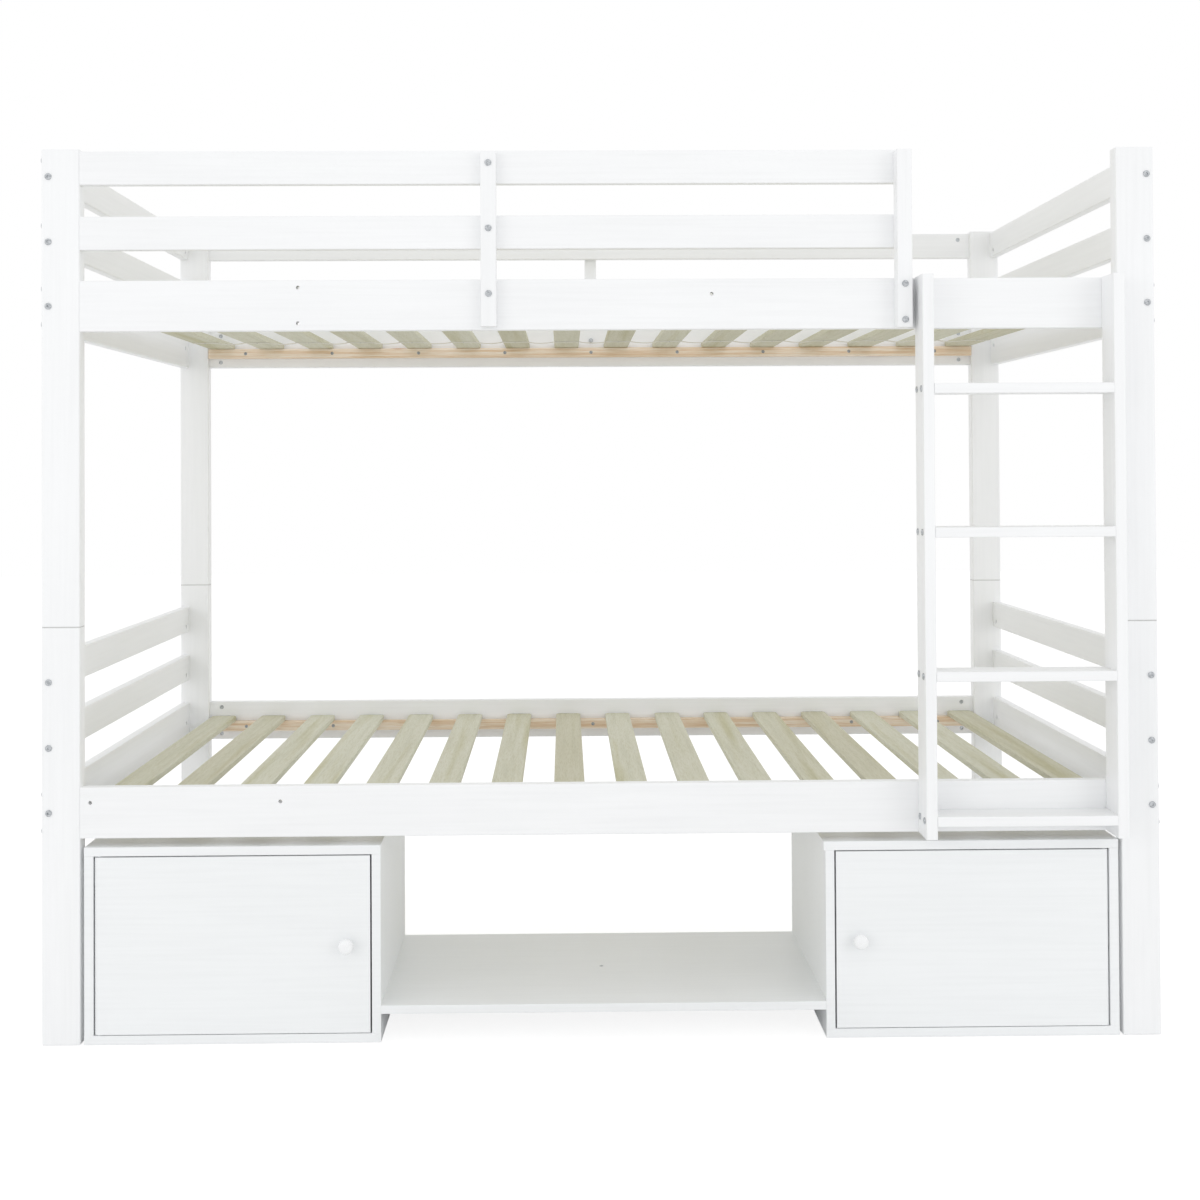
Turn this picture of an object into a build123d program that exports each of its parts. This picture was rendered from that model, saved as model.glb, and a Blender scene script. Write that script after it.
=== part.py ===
from build123d import *
import os

# Bunk bed for two single mattresses, with a ladder, guard rails and two cabinets under the
# lower bunk. Millimetres, +Z up, the front towards -Y and the ladder at the right, +X. The
# origin is on the floor, in the middle of everything that the bed covers.

os.makedirs("parts", exist_ok=True)

# Bed over its posts
bed_length = 2000
bed_width = 1060
post_width = 68
post_depth = 32
lower_post_height = 742
upper_post_height = 855
post_edge_radius = 2.5
post_end_chamfer = 0.8

# Heights of the boards: each bunk's bed rails stand on these, and its smaller boards above them
lower_rail_height = 366
upper_rail_rise = 528
first_board_rise = 146
board_pitch = 117
board_count = 2

# Boards
rail_thickness = 20
bed_rail_height = 91
end_board_thickness = 20
small_board_height = 60
board_edge_radius = 2

# Upright pieces at the guard rails
guard_post_width = 27
guard_post_depth = 32
batten_width = 28
batten_thickness = 20
batten_inset = 5
front_batten_offset = 200

# Slats and what carries them
ledger_depth = 20
ledger_height = 23
ledger_rise = 22
ledger_end_gap = 2
slat_count = 16
slat_width = 58
slat_thickness = 12
slat_post_gap = 6.75
slat_end_gap = 2
slat_corner_radius = 8
strap_width = 20
strap_thickness = 1.2
strap_inset = 203
strap_sag = 4

# Ladder
stile_width = 20
stile_depth = 64
ladder_clear_width = 318
ladder_post_gap = 8
ladder_guard_gap = 10
rung_count = 4
rung_pitch = 254
rung_thickness = 18
first_rung_rise = 31
rung_bolt_inset = 14

# Cabinets, with their doors set in flush, and the shelf between them
cabinet_width = 527
cabinet_depth = 430
cabinet_height = 350
cabinet_post_gap = 7
panel_thickness = 16
panel_edge_radius = 0.8
back_thickness = 5
right_top_overhang = 3
door_thickness = 16
door_hinge_gap = 1.2
door_free_gap = 3
door_top_gap = 2
door_bottom_gap = 1.5
shelf_thickness = 15
shelf_height = 50
foot_length = 120
foot_width = 60

# Knobs
knob_radius = 13.5
knob_length = 24
knob_neck_radius = 6.5
knob_base_radius = 8.5
knob_base_length = 3
knob_stud_radius = 2.5
knob_stud_length = 12
knob_inset = 41

# Pivots, catches and strike plates of the doors
pivot_radius = 3
pivot_depth = 10
pivot_play = 0.08
pivot_collar_radius = 6
pivot_end_play = 0.3
catch_length = 44
catch_height = 14
catch_depth = 13
strike_length = 40
strike_height = 16
strike_thickness = 1.2
catch_gap = 0.4
catch_inset = 60

# Bolts with barrel nuts, cap nuts or insert nuts
bolt_radius = 3
bolt_hole_radius = 3.5
bolt_head_radius = 6
bolt_head_height = 2.5
bolt_head_round = 0.8
bolt_socket_radius = 2.3
bolt_socket_depth = 1.6
bolt_end_length = 8
end_bolt_offset = 2.5
bed_bolt_edge = 13.5
small_board_hole_edge = 15
barrel_nut_radius = 5
barrel_nut_length = 12
barrel_nut_setback = 28
cap_nut_radius = 5.7
cap_nut_height = 9
cap_nut_round = 1.5
insert_nut_radius = 5
insert_nut_length = 15
head_clearance = 0.5
rung_bolt_radius = 2.5
rung_bolt_depth = 36

# Dowels and the pins that join the upper posts to the lower ones
dowel_radius = 4
dowel_post_depth = 12
dowel_board_depth = 20
dowel_panel_depth = 10
post_pin_radius = 5
post_pin_depth = 40
post_pin_chamfer = 1.5

# Wood screws with countersunk heads
screw_radius = 2
screw_head_radius = 4
screw_head_height = 2.4
screw_recess = 0.4
short_screw_length = 30
long_screw_length = 45
ledger_screw_count = 9
ledger_screw_inset = 90
screwed_slats = (0, 6, 9, 15)
cabinet_screw_inset = 60

# Places worked out from the sizes above
bed_height = lower_post_height + upper_post_height
front_reach = max(stile_depth, guard_post_depth + bolt_head_height)
back_reach = batten_thickness + bolt_head_height
total_depth = front_reach + bed_width + back_reach
left_x = -bed_length / 2
right_x = bed_length / 2
front_y = front_reach - total_depth / 2
back_y = front_y + bed_width
middle_y = (front_y + back_y) / 2
upper_rail_height = lower_post_height + upper_rail_rise

# Each end and side of the bed: the outer face of its posts, and the way that leads inwards
ends = {"left": (left_x, 1), "right": (right_x, -1)}
sides = {"front": (front_y, 1), "back": (back_y, -1)}
rail_heights = {"lower": lower_rail_height, "upper": upper_rail_height}
post_spans = {"lower": (0, lower_post_height), "upper": (lower_post_height, bed_height)}

end_bolt_x = end_board_thickness / 2 + end_bolt_offset
bed_bolt_rises = (bed_bolt_edge, bed_rail_height - bed_bolt_edge)
board_rises = [first_board_rise + index * board_pitch for index in range(board_count)]
boards_top = board_rises[-1] + small_board_height
board_length = bed_length - 2 * post_width
ledger_length = board_length - 2 * ledger_end_gap
slat_pitch = (board_length - 2 * slat_post_gap - slat_width) / (slat_count - 1)
ledger_screw_pitch = (ledger_length - 2 * ledger_screw_inset) / (ledger_screw_count - 1)
slat_top_rise = ledger_rise + ledger_height + slat_thickness
cross_bolt_rise = slat_top_rise + bolt_head_radius + head_clearance
end_bolt_length = post_depth + barrel_nut_setback + bolt_end_length
rail_bolt_length = post_width + barrel_nut_setback + bolt_end_length

ladder_right_x = right_x - post_width - ladder_post_gap
ladder_left_x = ladder_right_x - 2 * stile_width - ladder_clear_width
stile_centres = (ladder_left_x + stile_width / 2, ladder_right_x - stile_width / 2)
guard_post_right_x = ladder_left_x - ladder_guard_gap
guard_post_x = guard_post_right_x - guard_post_width / 2

door_bottom = panel_thickness + door_bottom_gap
door_top = cabinet_height - panel_thickness - door_top_gap
door_middle = (door_bottom + door_top) / 2
hinge_y = front_y + door_thickness / 2

bottom_align = (Align.CENTER, Align.CENTER, Align.MIN)
top_align = (Align.CENTER, Align.CENTER, Align.MAX)


def span(start, size):
    """Return the low and the high limit of a stretch from a place, whose size may be negative."""
    return (min(start, start + size), max(start, start + size))


def block(x, y, z):
    """Add a block between three pairs of limits."""
    with Locations(((x[0] + x[1]) / 2, (y[0] + y[1]) / 2, (z[0] + z[1]) / 2)):
        Box(x[1] - x[0], y[1] - y[0], z[1] - z[0])


def board(x, y, z, grain, edge_radius):
    """Add a board between three pairs of limits, with its edges along the grain rounded."""
    block(x, y, z)
    thinnest = min(x[1] - x[0], y[1] - y[0], z[1] - z[0])
    fillet(edges(Select.LAST).filter_by(grain), min(edge_radius, thinnest / 3))


def drill(seats, radius, down=0, up=0):
    """Cut round holes at each seat plane, against its normal, along it, or both."""
    with Locations(*seats):
        if down:
            Cylinder(radius, down, align=top_align, mode=Mode.SUBTRACT)
        if up:
            Cylinder(radius, up, align=bottom_align, mode=Mode.SUBTRACT)


def place(shape, seats, mode=Mode.ADD):
    """Add or cut a finished shape at each seat plane."""
    with Locations(*seats):
        add(shape, mode=mode)


def bolt(radius, length):
    """Return a bolt with a low socket head above the origin and its shank below."""
    with BuildPart() as shape:
        Cylinder(radius, length, align=top_align)
        Cylinder(bolt_head_radius, bolt_head_height, align=bottom_align)
        fillet(shape.edges().group_by(Axis.Z)[-1], bolt_head_round)
        with BuildSketch(Plane.XY.offset(bolt_head_height)):
            RegularPolygon(bolt_socket_radius, 6)
        extrude(amount=-bolt_socket_depth, mode=Mode.SUBTRACT)
    return shape.part


def screw(length):
    """Return a wood screw along -Z whose countersunk head ends below the origin."""
    with BuildPart() as shape:
        with Locations((0, 0, -screw_recess)):
            Cylinder(screw_radius, length - screw_recess, align=top_align)
            Cone(screw_radius, screw_head_radius, screw_head_height, align=top_align)
    return shape.part


def screw_hole(length):
    """Return the hole that a screw leaves: its own shape with a recess over the head."""
    with BuildPart() as shape:
        Cylinder(screw_head_radius, screw_recess, align=top_align)
        with Locations((0, 0, -screw_recess)):
            Cylinder(screw_radius, length - screw_recess, align=top_align)
            Cone(screw_radius, screw_head_radius, screw_head_height, align=top_align)
    return shape.part


def barrel_nut():
    """Return a barrel nut along Z, centred, with its thread along X."""
    with BuildPart() as shape:
        Cylinder(barrel_nut_radius, barrel_nut_length)
        with Locations(Plane.YZ):
            Cylinder(bolt_radius, 2 * barrel_nut_radius, mode=Mode.SUBTRACT)
    return shape.part


def cap_nut():
    """Return a closed hexagon nut that stands on the origin."""
    with BuildPart() as shape:
        with BuildSketch():
            RegularPolygon(cap_nut_radius, 6)
        extrude(amount=cap_nut_height)
        fillet(shape.edges().group_by(Axis.Z)[-1], cap_nut_round)
        Cylinder(bolt_radius, bolt_end_length, align=bottom_align, mode=Mode.SUBTRACT)
    return shape.part


def insert_nut():
    """Return a sleeve with a thread, sunk below the origin."""
    with BuildPart() as shape:
        Cylinder(insert_nut_radius, insert_nut_length, align=top_align)
        Cylinder(bolt_radius, insert_nut_length, align=top_align, mode=Mode.SUBTRACT)
    return shape.part


def peg(radius, down, up, chamfer_size):
    """Return a round pin with chamfered ends that reaches below and above the origin."""
    with BuildPart() as shape:
        with Locations((0, 0, -down)):
            Cylinder(radius, down + up, align=bottom_align)
        chamfer(shape.edges().filter_by(GeomType.CIRCLE), chamfer_size)
    return shape.part


def end_bolt_seats(bunk, side, end):
    """Planes on a post's outer long face for the bolts into the end boards."""
    x, inward_x = ends[end]
    y, inward_y = sides[side]
    seat_x = x + inward_x * end_bolt_x
    rises = [bed_rail_height / 2] + [rise + small_board_hole_edge for rise in board_rises]
    return [
        Plane(origin=(seat_x, y, rail_heights[bunk] + rise), z_dir=(0, -inward_y, 0))
        for rise in rises
    ]


def end_dowel_seats(bunk, side, end):
    """Planes where a post meets the end boards, facing into the post, for the dowels."""
    x, inward_x = ends[end]
    y, inward_y = sides[side]
    top_edge = small_board_height - small_board_hole_edge
    rises = list(bed_bolt_rises) + [rise + top_edge for rise in board_rises]
    seat_x = x + inward_x * end_board_thickness / 2
    seat_y = y + inward_y * post_depth
    return [
        Plane(origin=(seat_x, seat_y, rail_heights[bunk] + rise), z_dir=(0, -inward_y, 0))
        for rise in rises
    ]


def long_board_seats(bunk, side, end, rises, seat_x):
    """Planes across the bed's length at the middle of a long board's thickness, facing outwards."""
    inward_x = ends[end][1]
    y, inward_y = sides[side]
    seat_y = y + inward_y * rail_thickness / 2
    return [
        Plane(origin=(seat_x, seat_y, rail_heights[bunk] + rise), z_dir=(-inward_x, 0, 0))
        for rise in rises
    ]


def guard_bolt_rises(bunk):
    """Heights over the bed rail of the bolts into the guard rails, on the upper bunk only."""
    if bunk == "lower":
        return []
    return [rise + small_board_height - small_board_hole_edge for rise in board_rises]


def guard_dowel_rises(bunk):
    """Heights over the bed rail of the dowels in the guard rails, on the upper bunk only."""
    if bunk == "lower":
        return []
    return [rise + small_board_hole_edge for rise in board_rises]


def meets_post(side, end):
    """The front guard rails end at the guard post, so the front right post carries none."""
    return not (side == "front" and end == "right")


def rail_bolt_seats(bunk, side, end):
    """Planes on a post's outer end face for the bolts into the bed rail and guard rails."""
    rises = list(bed_bolt_rises)
    if meets_post(side, end):
        rises += guard_bolt_rises(bunk)
    return long_board_seats(bunk, side, end, rises, ends[end][0])


def rail_dowel_seats(bunk, side, end):
    """Planes where a post meets the long boards, facing into the post, for the dowels."""
    rises = [bed_rail_height / 2]
    if meets_post(side, end):
        rises += guard_dowel_rises(bunk)
    x, inward_x = ends[end]
    return long_board_seats(bunk, side, end, rises, x + inward_x * post_width)


def nut_seats(bolt_seats, passed, nut_direction):
    """Centre planes of the barrel nuts on bolts that pass a post of the given size."""
    reach = passed + barrel_nut_setback
    return [
        Plane(origin=seat.origin - seat.z_dir * reach, x_dir=seat.z_dir, z_dir=nut_direction)
        for seat in bolt_seats
    ]


end_bolt = bolt(bolt_radius, end_bolt_length)
rail_bolt = bolt(bolt_radius, rail_bolt_length)
guard_post_bolt = bolt(bolt_radius, guard_post_depth + rail_thickness + bolt_end_length)
batten_bolt = bolt(bolt_radius, batten_thickness + rail_thickness + bolt_end_length)
ladder_bolt = bolt(bolt_radius, rail_thickness + insert_nut_length)
rung_bolt = bolt(rung_bolt_radius, stile_width + rung_bolt_depth)
barrel_nut_shape = barrel_nut()
cap_nut_shape = cap_nut()
insert_nut_shape = insert_nut()
board_dowel = peg(dowel_radius, dowel_board_depth, dowel_post_depth, dowel_radius / 4)
panel_dowel = peg(dowel_radius, dowel_board_depth, dowel_panel_depth, dowel_radius / 4)
post_pin = peg(post_pin_radius, post_pin_depth, post_pin_depth, post_pin_chamfer)
short_screw = screw(short_screw_length)
short_screw_hole = screw_hole(short_screw_length)
long_screw = screw(long_screw_length)
long_screw_hole = screw_hole(long_screw_length)

corners = [(bunk, side, end) for bunk in rail_heights for side in sides for end in ends]


# Posts: each stands in a corner, and the upper ones stand on the lower ones
def pin_seats(side, end):
    """The plane of the joint between a corner's two posts."""
    x, inward_x = ends[end]
    y, inward_y = sides[side]
    seat_x = x + inward_x * post_width / 2
    seat_y = y + inward_y * post_depth / 2
    return [Plane(origin=(seat_x, seat_y, lower_post_height), z_dir=(0, 0, 1))]


for bunk, side, end in corners:
    x, inward_x = ends[end]
    y, inward_y = sides[side]
    with BuildPart() as post:
        post_x = span(x, inward_x * post_width)
        post_y = span(y, inward_y * post_depth)
        board(post_x, post_y, post_spans[bunk], Axis.Z, post_edge_radius)
        chamfer(post.edges().group_by(Axis.Z)[0] + post.edges().group_by(Axis.Z)[-1], post_end_chamfer)
        drill(end_bolt_seats(bunk, side, end), bolt_hole_radius, down=post_depth)
        drill(rail_bolt_seats(bunk, side, end), bolt_hole_radius, down=post_width)
        drill(end_dowel_seats(bunk, side, end), dowel_radius, up=dowel_post_depth)
        drill(rail_dowel_seats(bunk, side, end), dowel_radius, up=dowel_post_depth)
        drill(pin_seats(side, end), post_pin_radius, down=post_pin_depth, up=post_pin_depth)
    post.part.label = f"post_{bunk}_{side}_{end}"
    export_step(post.part, f"parts/{post.part.label}.step")

with BuildPart() as post_pins:
    for side in sides:
        for end in ends:
            place(post_pin, pin_seats(side, end))
post_pins.part.label = "post_pins"
export_step(post_pins.part, "parts/post_pins.step")


# End boards: one as high as the bed rail and two smaller ones above it, at both ends
def end_nut_seats(bunk, end):
    """Centre planes of the barrel nuts in one end's boards."""
    seats = []
    for side in sides:
        bolts = end_bolt_seats(bunk, side, end)
        seats += nut_seats(bolts, post_depth, (ends[end][1], 0, 0))
    return seats


for bunk, rail_height in rail_heights.items():
    for end, (x, inward_x) in ends.items():
        with BuildPart() as end_rails:
            board_x = span(x, inward_x * end_board_thickness)
            board_y = (front_y + post_depth, back_y - post_depth)
            board(board_x, board_y, span(rail_height, bed_rail_height), Axis.Y, board_edge_radius)
            for rise in board_rises:
                board_z = span(rail_height + rise, small_board_height)
                board(board_x, board_y, board_z, Axis.Y, board_edge_radius)
            for side in sides:
                hole_length = end_bolt_length + head_clearance
                drill(end_bolt_seats(bunk, side, end), bolt_hole_radius, down=hole_length)
                drill(end_dowel_seats(bunk, side, end), dowel_radius, down=dowel_board_depth)
            nuts = end_nut_seats(bunk, end)
            drill(nuts, barrel_nut_radius, down=barrel_nut_length / 2, up=end_board_thickness)
        end_rails.part.label = f"end_rails_{bunk}_{end}"
        export_step(end_rails.part, f"parts/{end_rails.part.label}.step")


# Holes through the front bed rails: those in use, and the spare ones that let the ladder and
# the guard post be put on the other side
def rail_face_seats(rail_height, places, rises):
    """Planes on the front rail's inner face, facing inwards."""
    face_y = front_y + rail_thickness
    return [
        Plane(origin=(x, face_y, rail_height + rise), z_dir=(0, 1, 0)) for x in places for rise in rises
    ]


ladder_bolt_seats = rail_face_seats(lower_rail_height, stile_centres, [cross_bolt_rise])
ladder_bolt_seats += rail_face_seats(upper_rail_height, stile_centres, [cross_bolt_rise])
ladder_spare_seats = rail_face_seats(
    lower_rail_height, [-stile_x for stile_x in stile_centres], [cross_bolt_rise]
)
batten_rises = [cross_bolt_rise + index * board_pitch for index in range(board_count + 1)]
guard_post_nut_seats = rail_face_seats(upper_rail_height, [guard_post_x], bed_bolt_rises)
guard_post_spare_seats = rail_face_seats(upper_rail_height, [-guard_post_x], bed_bolt_rises)
batten_nut_seats = rail_face_seats(upper_rail_height, [-front_batten_offset], batten_rises)
batten_spare_seats = rail_face_seats(upper_rail_height, [front_batten_offset], [cross_bolt_rise])
back_batten_nut_seats = [
    Plane(origin=(0, back_y - rail_thickness, upper_rail_height + rise), z_dir=(0, -1, 0))
    for rise in batten_rises
]
through_rail_seats = {
    ("lower", "front"): ladder_bolt_seats + ladder_spare_seats,
    ("lower", "back"): [],
    ("upper", "front"): ladder_bolt_seats
    + guard_post_nut_seats
    + guard_post_spare_seats
    + batten_nut_seats
    + batten_spare_seats,
    ("upper", "back"): back_batten_nut_seats,
}


def ledger_screw_seats(bunk, side):
    """Planes on a ledger's inner face for its screws into the bed rail."""
    y, inward_y = sides[side]
    seat_y = y + inward_y * (rail_thickness + ledger_depth)
    seat_z = rail_heights[bunk] + ledger_rise + ledger_height / 2
    first_x = ledger_screw_inset - ledger_length / 2
    return [
        Plane(origin=(first_x + index * ledger_screw_pitch, seat_y, seat_z), z_dir=(0, inward_y, 0))
        for index in range(ledger_screw_count)
    ]


def bolts_into_long_boards(bunk, side):
    """Cut what the bolts, dowels and barrel nuts need in boards between two posts."""
    for end in ends:
        bolts = rail_bolt_seats(bunk, side, end)
        nuts = nut_seats(bolts, post_width, (0, sides[side][1], 0))
        drill(bolts, bolt_hole_radius, down=rail_bolt_length + head_clearance)
        drill(rail_dowel_seats(bunk, side, end), dowel_radius, down=dowel_board_depth)
        drill(nuts, barrel_nut_radius, down=barrel_nut_length / 2, up=rail_thickness)


# Bed rails: the long boards that carry the slats
for bunk, rail_height in rail_heights.items():
    for side, (y, inward_y) in sides.items():
        with BuildPart() as bed_rail:
            rail_x = (-board_length / 2, board_length / 2)
            rail_y = span(y, inward_y * rail_thickness)
            board(rail_x, rail_y, span(rail_height, bed_rail_height), Axis.X, board_edge_radius)
            bolts_into_long_boards(bunk, side)
            if through_rail_seats[bunk, side]:
                drill(through_rail_seats[bunk, side], bolt_hole_radius, down=rail_thickness)
            place(short_screw_hole, ledger_screw_seats(bunk, side), Mode.SUBTRACT)
        bed_rail.part.label = f"bed_rail_{bunk}_{side}"
        export_step(bed_rail.part, f"parts/{bed_rail.part.label}.step")

# Guard rails: two smaller boards at the front, from the left post to the guard post, and two
# at the back, from post to post
guard_screw_rises = [
    rise + edge
    for rise in board_rises
    for edge in (small_board_hole_edge, small_board_height - small_board_hole_edge)
]
guard_screw_seats = rail_face_seats(upper_rail_height, [guard_post_x], guard_screw_rises)

with BuildPart() as guard_rails_front:
    for rise in board_rises:
        board(
            (left_x + post_width, guard_post_right_x),
            span(front_y, rail_thickness),
            span(upper_rail_height + rise, small_board_height),
            Axis.X,
            board_edge_radius,
        )
    bolts_into_long_boards("upper", "front")
    drill(batten_nut_seats, bolt_hole_radius, down=rail_thickness)
    place(short_screw_hole, guard_screw_seats, Mode.SUBTRACT)
guard_rails_front.part.label = "guard_rails_front"
export_step(guard_rails_front.part, "parts/guard_rails_front.step")

with BuildPart() as guard_rails_back:
    for rise in board_rises:
        board(
            (-board_length / 2, board_length / 2),
            span(back_y, -rail_thickness),
            span(upper_rail_height + rise, small_board_height),
            Axis.X,
            board_edge_radius,
        )
    bolts_into_long_boards("upper", "back")
    drill(back_batten_nut_seats, bolt_hole_radius, down=rail_thickness)
guard_rails_back.part.label = "guard_rails_back"
export_step(guard_rails_back.part, "parts/guard_rails_back.step")

# Guard post and battens: uprights that tie the guard rails to the bed rails from outside
upright_top = upper_rail_height + boards_top - batten_inset

with BuildPart() as guard_post:
    board(
        span(guard_post_right_x, -guard_post_width),
        span(front_y, -guard_post_depth),
        (upper_rail_height, upright_top),
        Axis.Z,
        board_edge_radius,
    )
    drill(guard_post_nut_seats, bolt_hole_radius, down=rail_thickness + guard_post_depth)
    place(short_screw_hole, guard_screw_seats, Mode.SUBTRACT)
guard_post.part.label = "guard_post"
export_step(guard_post.part, "parts/guard_post.step")

with BuildPart() as guard_batten_front:
    board(
        span(-front_batten_offset - batten_width / 2, batten_width),
        span(front_y, -batten_thickness),
        (upper_rail_height + batten_inset, upright_top),
        Axis.Z,
        board_edge_radius,
    )
    drill(batten_nut_seats, bolt_hole_radius, down=rail_thickness + batten_thickness)
guard_batten_front.part.label = "guard_batten_front"
export_step(guard_batten_front.part, "parts/guard_batten_front.step")

with BuildPart() as guard_batten_back:
    board(
        span(-batten_width / 2, batten_width),
        span(back_y, batten_thickness),
        (upper_rail_height + batten_inset, upright_top),
        Axis.Z,
        board_edge_radius,
    )
    drill(back_batten_nut_seats, bolt_hole_radius, down=rail_thickness + batten_thickness)
guard_batten_back.part.label = "guard_batten_back"
export_step(guard_batten_back.part, "parts/guard_batten_back.step")

# Slats lie across the ledgers, and four of each bunk are screwed down
slat_length = bed_width - 2 * (rail_thickness + slat_end_gap)
first_slat_x = -(slat_count - 1) * slat_pitch / 2
slat_centres = [first_slat_x + index * slat_pitch for index in range(slat_count)]


def slat_screw_seats(bunk):
    """Planes on top of the slats that are screwed to the ledgers."""
    seat_z = rail_heights[bunk] + slat_top_rise
    inset = rail_thickness + ledger_depth / 2
    return [
        Plane(origin=(slat_centres[index], seat_y, seat_z), z_dir=(0, 0, 1))
        for index in screwed_slats
        if index < slat_count
        for seat_y in (front_y + inset, back_y - inset)
    ]


with BuildPart() as ledgers:
    for bunk, rail_height in rail_heights.items():
        for side, (y, inward_y) in sides.items():
            board(
                (-ledger_length / 2, ledger_length / 2),
                span(y + inward_y * rail_thickness, inward_y * ledger_depth),
                span(rail_height + ledger_rise, ledger_height),
                Axis.X,
                board_edge_radius,
            )
            place(short_screw_hole, ledger_screw_seats(bunk, side), Mode.SUBTRACT)
        place(short_screw_hole, slat_screw_seats(bunk), Mode.SUBTRACT)
ledgers.part.label = "ledgers"
export_step(ledgers.part, "parts/ledgers.step")

for bunk, rail_height in rail_heights.items():
    with BuildPart() as slats:
        with BuildSketch(Plane.XY.offset(rail_height + ledger_rise + ledger_height)):
            with Locations(*[(slat_x, middle_y) for slat_x in slat_centres]):
                RectangleRounded(slat_width, slat_length, min(slat_corner_radius, slat_width / 3))
        extrude(amount=slat_thickness)
        place(short_screw_hole, slat_screw_seats(bunk), Mode.SUBTRACT)
    slats.part.label = f"slats_{bunk}"
    export_step(slats.part, f"parts/{slats.part.label}.step")

# Two ribbons under the upper slats keep them apart, and sag a little in each gap
strap_top = upper_rail_height + ledger_rise + ledger_height
strap_low = strap_top - strap_thickness
strap_y_places = (front_y + rail_thickness + strap_inset, back_y - rail_thickness - strap_inset)


with BuildPart() as slat_straps:
    for strap_y in strap_y_places:
        with BuildSketch(Plane.XZ.offset(-strap_y - strap_width / 2)):
            with Locations(*[(slat_x, strap_top - strap_thickness / 2) for slat_x in slat_centres]):
                Rectangle(slat_width, strap_thickness)
            for slat_x in slat_centres[:-1]:
                start_x = slat_x + slat_width / 2
                middle_x = slat_x + slat_pitch / 2
                end_x = slat_x + slat_pitch - slat_width / 2
                lowest = strap_top - strap_sag
                with BuildLine():
                    ThreePointArc((start_x, strap_top), (middle_x, lowest), (end_x, strap_top))
                    Line((end_x, strap_top), (end_x, strap_low))
                    ThreePointArc((end_x, strap_low), (middle_x, lowest - strap_thickness), (start_x, strap_low))
                    Line((start_x, strap_low), (start_x, strap_top))
                make_face()
        extrude(amount=strap_width)
slat_straps.part.label = "slat_straps"
export_step(slat_straps.part, "parts/slat_straps.step")

# Ladder: two stiles against the front of both bed rails, and rungs between them
ladder_top = upper_rail_height + bed_rail_height
rung_heights = [
    lower_rail_height + first_rung_rise + index * rung_pitch for index in range(rung_count)
]
stile_outer_faces = {"left": (ladder_left_x, 1), "right": (ladder_right_x, -1)}


def rung_bolt_seats(end):
    """Planes on a stile's outer face for two bolts into each rung."""
    x, inward_x = stile_outer_faces[end]
    return [
        Plane(origin=(x, seat_y, seat_z), z_dir=(-inward_x, 0, 0))
        for seat_z in rung_heights
        for seat_y in (front_y - rung_bolt_inset, front_y - stile_depth + rung_bolt_inset)
    ]


insert_nut_seats = [
    Plane(origin=seat.origin - seat.z_dir * rail_thickness, z_dir=seat.z_dir)
    for seat in ladder_bolt_seats
]

for end, (x, inward_x) in stile_outer_faces.items():
    with BuildPart() as ladder_stile:
        board(
            span(x, inward_x * stile_width),
            span(front_y, -stile_depth),
            (lower_rail_height, ladder_top),
            Axis.Z,
            board_edge_radius,
        )
        drill(rung_bolt_seats(end), rung_bolt_radius, down=stile_width)
        drill(insert_nut_seats, insert_nut_radius, down=insert_nut_length)
    ladder_stile.part.label = f"ladder_stile_{end}"
    export_step(ladder_stile.part, f"parts/{ladder_stile.part.label}.step")

with BuildPart() as ladder_rungs:
    for height in rung_heights:
        board(
            (ladder_left_x + stile_width, ladder_right_x - stile_width),
            span(front_y, -stile_depth),
            span(height - rung_thickness / 2, rung_thickness),
            Axis.X,
            board_edge_radius,
        )
    for end in ends:
        drill(rung_bolt_seats(end), rung_bolt_radius, down=stile_width + rung_bolt_depth)
ladder_rungs.part.label = "ladder_rungs"
export_step(ladder_rungs.part, "parts/ladder_rungs.step")

# Cabinets: each end's outer face and the way that leads from it to the middle of the bed
cabinet_faces = {
    "left": (left_x + post_width + cabinet_post_gap, 1),
    "right": (right_x - post_width - cabinet_post_gap, -1),
}
top_overhangs = {"left": 0, "right": right_top_overhang}
cabinet_y = span(front_y, cabinet_depth)
side_z = (panel_thickness, cabinet_height - panel_thickness)
screw_y_places = (cabinet_y[0] + cabinet_screw_inset, cabinet_y[1] - cabinet_screw_inset)


def side_board_centres(end):
    """Middles of the thickness of a cabinet's outer and inner side."""
    x, inward_x = cabinet_faces[end]
    half = inward_x * panel_thickness / 2
    return (x + half, x + inward_x * cabinet_width - half)


def panel_screw_seats(end):
    """Planes under the bottom board for its screws into the sides."""
    return [
        Plane(origin=(seat_x, seat_y, 0), z_dir=(0, 0, -1))
        for seat_x in side_board_centres(end)
        for seat_y in screw_y_places
    ]


def panel_dowel_seats(end):
    """Planes where the sides meet the top board, facing into it, for the dowels."""
    return [
        Plane(origin=(seat_x, seat_y, side_z[1]), z_dir=(0, 0, 1))
        for seat_x in side_board_centres(end)
        for seat_y in screw_y_places
    ]


def shelf_screw_seats(end):
    """Planes on the inside of a cabinet's inner side for the screws into the shelf."""
    x, inward_x = cabinet_faces[end]
    seat_x = x + inward_x * (cabinet_width - panel_thickness)
    seat_z = shelf_height + shelf_thickness / 2
    return [
        Plane(origin=(seat_x, seat_y, seat_z), z_dir=(-inward_x, 0, 0)) for seat_y in screw_y_places
    ]


def hinge_x(end):
    """Place of a door's pivots."""
    x, inward_x = cabinet_faces[end]
    return x + inward_x * (panel_thickness + door_hinge_gap + door_thickness / 2)


def door_free_x(end):
    """Place of a door's free edge."""
    x, inward_x = cabinet_faces[end]
    return x + inward_x * (cabinet_width - panel_thickness - door_free_gap)


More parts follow.
